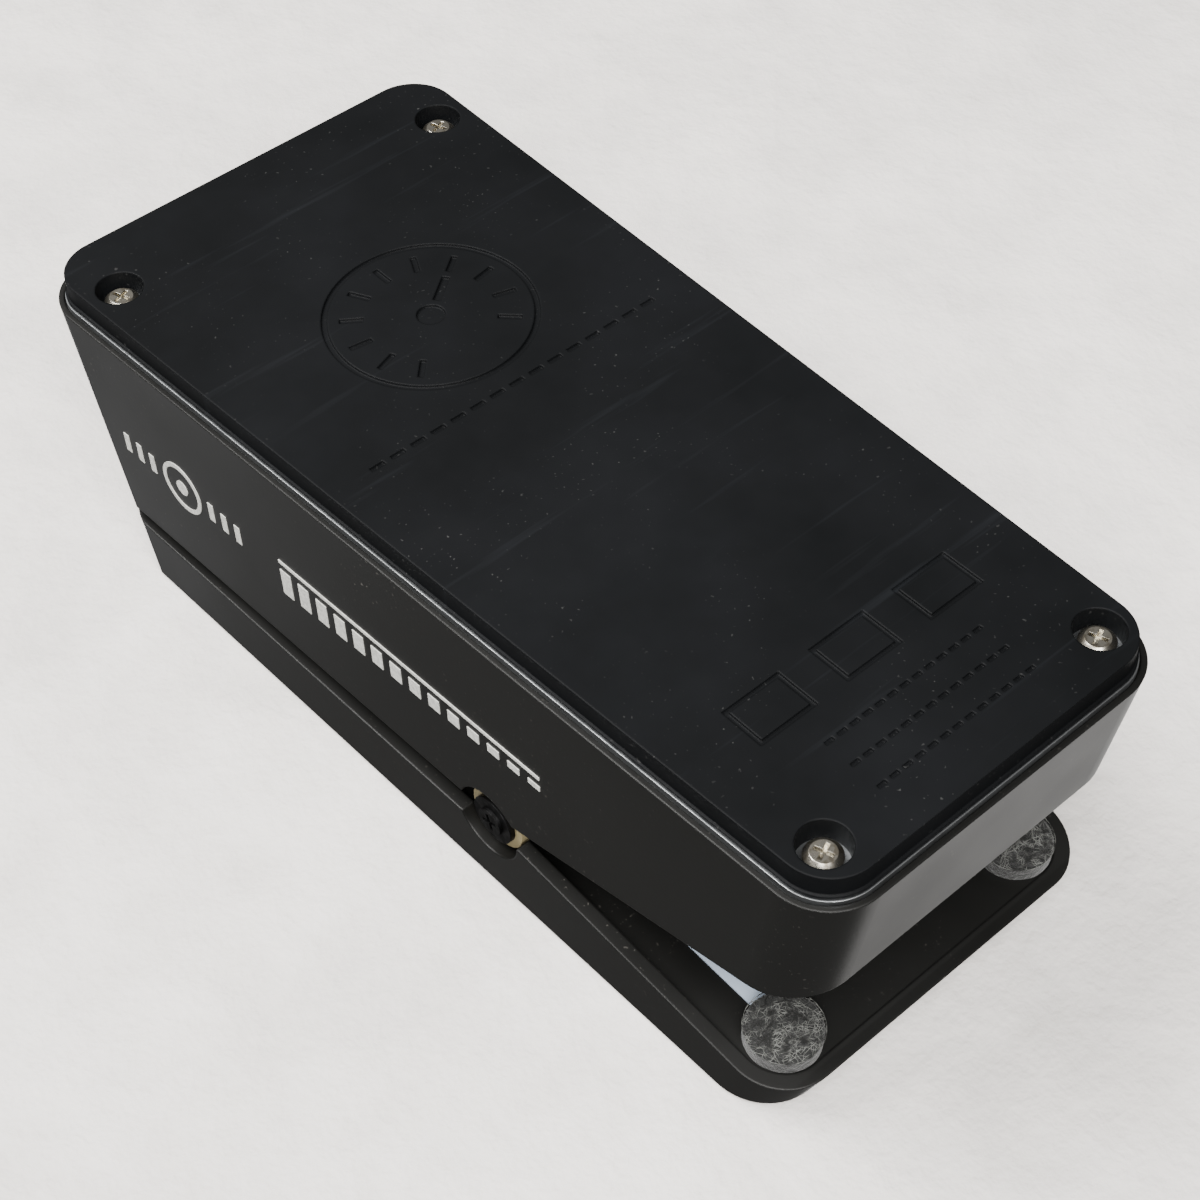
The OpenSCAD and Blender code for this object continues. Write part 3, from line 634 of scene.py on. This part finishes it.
class PedalStage(bpy.types.PropertyGroup):
    """Camera, lights and floor."""

    eye: FloatVectorProperty(
        name="Camera place", description="Where the camera stands", subtype="XYZ", unit="LENGTH",
        default=(0.16447, -0.19917, -0.24907),
    )
    aim: FloatVectorProperty(
        name="Camera aim", description="The point the camera looks at", subtype="XYZ", unit="LENGTH",
        default=(0.00955, -0.01641, 0.02),
    )
    roll: FloatProperty(
        name="Camera roll",
        description="Turn of the camera about its own view",
        default=math.radians(1.674),
        subtype="ANGLE",
    )
    lens: FloatProperty(
        name="Lens",
        description="Focal length in mm on a 36 mm sensor",
        default=68.95,
        min=20.0,
        max=200.0,
    )
    floor_colour: FloatVectorProperty(
        name="Floor colour",
        description="Pale warm grey of the floor",
        subtype="COLOR",
        default=srgb("e3dfdb")[:3],
        min=0.0,
        max=1.0,
    )
    room_light: FloatProperty(
        name="Room light",
        description="Strength of the even light from all round",
        default=0.22,
        min=0.0,
        max=5.0,
    )
    key_light: FloatProperty(
        name="Key light",
        description="Power of the large soft light on the base side, in watts",
        default=62.0,
        min=0.0,
    )
    top_light: FloatProperty(
        name="Top light",
        description="Power of the large soft light above the treadle, in watts",
        default=3.2,
        min=0.0,
    )
    back_light: FloatProperty(
        name="Back light",
        description="Power of the soft light above the toe and the left side, in watts",
        default=34.0,
        min=0.0,
    )


# ------------------------------------------------------------------ operators


class PEDAL_OT_castings(bpy.types.Operator):
    """Powder coat on the housing and the treadle"""

    bl_idname = "pedal.castings"
    bl_label = "Castings"

    def execute(self, context):
        coat = powder_coat(context.scene.pedal_finish)
        for name in ("housing", "treadle"):
            wear(name, coat)
        return {"FINISHED"}


class PEDAL_OT_rubber(bpy.types.Operator):
    """Rubber of the base pad and the tread mat"""

    bl_idname = "pedal.rubber"
    bl_label = "Rubber parts"

    def execute(self, context):
        wear("base_pad", pad_rubber(context.scene.pedal_finish))
        wear("tread_mat", tread_rubber())
        return {"FINISHED"}


class PEDAL_OT_hardware(bpy.types.Operator):
    """Screws, nuts, washers, plate, axle and bushes"""

    bl_idname = "pedal.hardware"
    bl_label = "Hardware"

    def execute(self, context):
        # Nickel plate worn on the edges: warm bright metal with dull, slightly brown patches 1.2 mm across.
        nickel = plated("worn_nickel_plate", "d8d4c8", "7d776b", 0.24, 1.2)
        # Zinc plate: bluish grey with a crystalline cloud about 4 mm across.
        zinc = plated("zinc_plated_steel", "b9bcbe", "8c8f91", 0.34, 4.0)
        # Black oxide on steel: near black with a faint metal gloss.
        oxide = plated("black_oxide_steel", "2c2c2d", "1a1a1a", 0.42, 1.5)
        ground = brushed("ground_axle_steel", "8f9295", "b9bbbd", 0.25, 0)
        # Acetal bush: warm ivory gone brown with age, waxy and slightly glossy.
        acetal = moulded("ivory_acetal", "857a5c", "9a8e6c", 0.38)
        nylon = moulded("natural_nylon", "d9d5c6", "e4e0d2", 0.45)
        screws = ("base_screws", "bracket_screws", "sector_screws", "band_screws")
        for name in (*screws, "jack_nuts", "pot_nut"):
            wear(name, nickel)
        for name in ("base_plate", "pot_bracket", "pot_washer", "jack_washers"):
            wear(name, zinc)
        for name in ("axle_washers", "axle_end_screws", "axle_set_screws", "drum_set_screw"):
            wear(name, oxide)
        wear("pivot_axle", ground)
        wear("pivot_bushes", acetal)
        wear("thrust_washers", nylon)
        return {"FINISHED"}


class PEDAL_OT_drive(bpy.types.Operator):
    """Sector, band, drum and the rotary control"""

    bl_idname = "pedal.drive"
    bl_label = "Band drive"

    def execute(self, context):
        # Spring steel strip: bright, with fine rolling lines along its length.
        strip = brushed("rolled_spring_steel", "9da0a3", "c9ccce", 0.22, 1)
        # Turned brass: yellow metal with fine lathe lines round the axis.
        brass = brushed("turned_brass", "a98c46", "d0b468", 0.28, 0)
        # Sand-blasted aluminium casting: even mid grey, broad soft gloss.
        cast = plated("blasted_aluminium", "a3a5a6", "86888a", 0.46, 0.8)
        can = plated("tinned_steel_can", "bdbcb6", "98968e", 0.32, 5.0)
        for name in ("drive_band_run", "drive_band_wrap"):
            wear(name, strip)
        for name in ("drive_drum", "band_clamps", "pot_lugs", "jack_springs"):
            wear(name, brass)
        wear("sector_arm", cast)
        wear("pot_case", can)
        wear("pot_shaft", brushed("ground_shaft_steel", "9b9da0", "c3c5c7", 0.25, 0))
        return {"FINISHED"}


class PEDAL_OT_electrics(bpy.types.Operator):
    """Sockets, circuit board and what stands on it"""

    bl_idname = "pedal.electrics"
    bl_label = "Electrics"

    def execute(self, context):
        # Glass-filled nylon of the sockets: black, satin, faintly grainy.
        black = moulded("black_glass_filled_nylon", "151515", "1f1f1f", 0.4)
        for name in ("input_jack", "output_jack", "aux_jack", "mode_switch_lever"):
            wear(name, black)
        wear("circuit_board", circuit_green())
        wear("board_capacitors", moulded("dipped_film_capacitor", "8a3b26", "9a4630", 0.22))
        wear("mode_switch_case", plated("stamped_switch_can", "b9bcbe", "94979a", 0.3, 3.0))
        wear("trim_pot_case", moulded("blue_trimmer_shell", "2a4a8c", "35579c", 0.3))
        wear("trim_pot_wheel", moulded("white_trimmer_wheel", "d2cdbd", "dfdac9", 0.45))
        wear("wiring", moulded("red_wire_insulation", "a52f27", "b93a30", 0.35))
        return {"FINISHED"}


class PEDAL_OT_marks(bpy.types.Operator):
    """Printed marks on the side and the blank label"""

    bl_idname = "pedal.marks"
    bl_label = "Marks and label"

    def execute(self, context):
        finish = context.scene.pedal_finish
        material, tree, out, place = new_material("screen_printed_ink")
        grain = noise(tree, place, 0.7, 2.0)
        stops = [(0.3, dimmed(finish.ink_colour, 0.72)), (0.6, dimmed(finish.ink_colour, 1.0))]
        tone = ramp(tree, grain, "Fac", stops)
        shade(tree, out, {"Roughness": 0.5, "IOR": PLAIN_IOR}, {"Base Color": (tone, "Color")})
        wear("side_print_right", material)
        material, tree, out, place = new_material("blank_vinyl_label")
        cloud = noise(tree, place, 12.0, 2.0)
        stops = [(0.3, dimmed(finish.label_colour, 0.85)), (0.7, dimmed(finish.label_colour, 1.0))]
        tone = ramp(tree, cloud, "Fac", stops)
        shade(tree, out, {"Roughness": 0.35, "IOR": PLAIN_IOR}, {"Base Color": (tone, "Color")})
        wear("underside_label", material)
        return {"FINISHED"}


class PEDAL_OT_felts(bpy.types.Operator):
    """Felt pads with loose fibres, in place of the plain discs"""

    bl_idname = "pedal.felts"
    bl_label = "Felt pads"

    def execute(self, context):
        sizes = context.scene.pedal_felt
        MATERIALS["felt"] = felt_body()
        MATERIALS["fibre"] = felt_fibre()
        rng = np.random.default_rng(SEED)
        disc = (sizes.radius, sizes.thickness)
        felt_pads("heel_felt_pads", "rocker", sizes.heel_fibres, sizes.pitch, disc, rng)
        felt_pads("toe_felt_pads", "rocker", sizes.toe_fibres, sizes.pitch, disc, rng)
        return {"FINISHED"}


def floor_material(name, colour, fade):
    """White plush that shows its front only, so a camera behind it still sees the object.

    Tufts about 26 mm across shade each other a little, and fine hair 1.6 mm wide runs over them. fade holds
    the facing values between which the floor gives way at grazing sight, or None.
    """
    material, tree, out, place = new_material(name)
    tufts = noise(tree, place, 26.0, 5.0, 0.62)
    # Painted shade: the tufts noise darkens the floor colour to 0.86 where tufts shade each other; the pile
    # bump below adds real shading on top.
    tone = ramp(tree, tufts, "Fac", [(0.32, dimmed(colour, 0.86)), (0.6, dimmed(colour, 1.0))])
    pile = bump(tree, tufts, "Fac", 7.0, 0.35)
    hair = noise(tree, place, 1.6, 3.0, 0.7)
    fine = bump(tree, hair, "Fac", 0.6, 0.3, pile)
    surface = add(
        tree, "ShaderNodeBsdfDiffuse", links={"Color": (tone, "Color"), "Normal": (fine, "Normal")}
    )
    clear = add(tree, "ShaderNodeBsdfTransparent")
    side = add(tree, "ShaderNodeNewGeometry")
    hide = (side, "Backfacing")
    if fade:
        facing = add(tree, "ShaderNodeLayerWeight", sockets={"Blend": 0.5})
        grazing = ramp(tree, facing, "Facing", [(fade[0], grey(0.0)), (fade[1], grey(1.0))])
        both = add(
            tree,
            "ShaderNodeMath",
            {"operation": "MAXIMUM"},
            links={0: (side, "Backfacing"), 1: (grazing, "Color")},
        )
        hide = (both, 0)
    mix = add(tree, "ShaderNodeMixShader", links={0: hide, 1: (surface, 0), 2: (clear, 0)})
    tree.links.new(mix.outputs[0], out.inputs["Surface"])
    return material


def floor_disc(name, centre, normal, radius, material, body=None):
    """A flat round stage floor: a fan of the centre and points at radius round the normal."""
    count = FLOOR_SIDES
    t = np.arange(count) / count * math.tau
    basis = Vector((0, 0, 1)).rotation_difference(Vector(normal)).to_matrix()
    flat = np.stack([radius * np.cos(t), radius * np.sin(t), np.zeros(count)], -1)
    points = np.concatenate([[[0, 0, 0]], flat]) @ np.array(basis).T + np.array(centre)
    ring = np.arange(count)
    fan = np.stack([np.zeros(count, int), 1 + ring, 1 + (ring + 1) % count], -1)
    mesh = bpy.data.meshes.new(name)
    mesh.from_pydata(points.tolist(), [], fan.tolist())
    mesh.update()
    mesh.materials.append(material)
    made = bpy.data.objects.new(name, mesh)
    bpy.context.scene.collection.objects.link(made)
    if body:
        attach(made, body)
    made.visible_diffuse = False
    made.visible_glossy = False
    made.visible_transmission = False
    made.visible_shadow = False
    return made


def soft_light(name, place, aim, size, watts, colour):
    """A square area light of a given size that faces a point."""
    data = bpy.data.lights.new(name, "AREA")
    data.shape = "SQUARE"
    data.size = size
    data.energy = watts
    data.color = colour
    lamp = bpy.data.objects.new(name, data)
    lamp.location = place
    lamp.rotation_mode = "QUATERNION"
    lamp.rotation_quaternion = (Vector(aim) - Vector(place)).to_track_quat("-Z", "Y")
    bpy.context.scene.collection.objects.link(lamp)
    lamp.visible_camera = False
    return lamp


def add_floors(stage, pitch):
    """The floor that the mat rests on in the photo, and the floor that the pad stands on."""
    colour = tuple(stage.floor_colour)
    pivot = Vector(next(j for j in frame["joints"] if j["name"] == "treadle_tilt")["pos_m"])
    up = Vector((0.0, math.sin(pitch), math.cos(pitch)))
    mat_low, mat_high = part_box("tread_mat")
    heel_top = Vector((0.0, mat_low.y, mat_high.z))
    rest = pivot + up * (heel_top - pivot).dot(up)
    plush = floor_material("floor_treadle_side", colour, GRAZING_FADE)
    floor_disc("floor_under_treadle", rest, -up, TREADLE_FLOOR_RADIUS, plush, "rocker")
    plush = floor_material("floor_pad_side", colour, None)
    floor_disc("floor_under_pad", (0, 0, -PAD_FLOOR_GAP), (0, 0, 1), PAD_FLOOR_RADIUS, plush)


def add_lights(stage):
    """Two soft lights on the base side, and three above: name, place, size, watts, colour."""
    base, top, back = stage.key_light, stage.top_light, stage.back_light
    for name, place, size, watts, colour in (
        ("key_base_side", (0.55, -0.75, -1.1), 1.1, base, WARM),
        ("toe_base_side", (0.55, 0.6, -1.3), 0.9, base * 0.8, (1.0, 0.99, 0.975)),
        ("top_wide", (-0.8, -0.02, 1.25), 0.8, top, (1.0, 0.985, 0.96)),
        ("top_back", (-0.5, 0.8, 1.2), 1.0, back, (1.0, 0.99, 0.975)),
        ("top_toe", (0.4, 0.95, 0.8), 0.5, top * 0.14, (0.97, 0.98, 1.0)),
    ):
        soft_light(name, place, LIGHT_AIM, size, watts, colour)


def add_room(strength):
    """Even light from all round."""
    world = bpy.data.worlds.new("room")
    world.use_nodes = True
    sky = world.node_tree.nodes["Background"]
    sky.inputs["Color"].default_value = srgb("f0eeeb")
    sky.inputs["Strength"].default_value = strength
    bpy.context.scene.world = world


def add_camera(stage):
    """The camera below the heel on the right side, turned so that the base is up in the picture."""
    eye, point = Vector(stage.eye), Vector(stage.aim)
    ahead = (point - eye).normalized()
    down = Vector((0, 0, -1))
    level = (down - ahead * down.dot(ahead)).normalized()
    top = level * math.cos(stage.roll) + ahead.cross(level) * math.sin(stage.roll)
    right = ahead.cross(top)
    data = bpy.data.cameras.new("viewer")
    data.sensor_width = 36.0
    data.lens = stage.lens
    data.clip_start = 0.01
    camera = bpy.data.objects.new("viewer", data)
    camera.matrix_world = Matrix.Translation(eye) @ Matrix((right, top, -ahead)).transposed().to_4x4()
    bpy.context.scene.collection.objects.link(camera)
    bpy.context.scene.camera = camera


class PEDAL_OT_stage(bpy.types.Operator):
    """Floors, soft lights, room light and camera"""

    bl_idname = "pedal.stage"
    bl_label = "Stage"

    def execute(self, context):
        stage = context.scene.pedal_stage
        add_floors(stage, context.scene.pedal_felt.pitch)
        add_lights(stage)
        add_room(stage.room_light)
        add_camera(stage)
        return {"FINISHED"}


class PEDAL_PT_panel(bpy.types.Panel):
    """Lists the pedal's sizes, colours and build steps"""

    bl_idname = "PEDAL_PT_panel"
    bl_label = "Volume pedal"
    bl_space_type = "VIEW_3D"
    bl_region_type = "UI"
    bl_category = "Pedal"

    def draw(self, context):
        for group in (context.scene.pedal_finish, context.scene.pedal_felt, context.scene.pedal_stage):
            box = self.layout.box()
            for name in group.__annotations__:
                box.prop(group, name)
        for operator in OPERATORS:
            self.layout.operator(operator.bl_idname)


GROUPS = (PedalFinish, PedalFelt, PedalStage)
OPERATORS = (
    PEDAL_OT_castings,
    PEDAL_OT_rubber,
    PEDAL_OT_hardware,
    PEDAL_OT_drive,
    PEDAL_OT_electrics,
    PEDAL_OT_marks,
    PEDAL_OT_felts,
    PEDAL_OT_stage,
)


def register():
    """Registers the property groups, operators and panel."""
    for kind in (*GROUPS, *OPERATORS, PEDAL_PT_panel):
        bpy.utils.register_class(kind)
    bpy.types.Scene.pedal_finish = PointerProperty(type=PedalFinish)
    bpy.types.Scene.pedal_felt = PointerProperty(type=PedalFelt)
    bpy.types.Scene.pedal_stage = PointerProperty(type=PedalStage)


def unregister():
    """Removes what register added."""
    for name in ("pedal_finish", "pedal_felt", "pedal_stage"):
        delattr(bpy.types.Scene, name)
    for kind in reversed((*GROUPS, *OPERATORS, PEDAL_PT_panel)):
        bpy.utils.unregister_class(kind)


def main():
    """Registers the classes and runs every step in order."""
    register()
    bpy.ops.pedal.castings()
    bpy.ops.pedal.rubber()
    bpy.ops.pedal.hardware()
    bpy.ops.pedal.drive()
    bpy.ops.pedal.electrics()
    bpy.ops.pedal.marks()
    bpy.ops.pedal.felts()
    bpy.ops.pedal.stage()


if __name__ == "__main__":
    main()
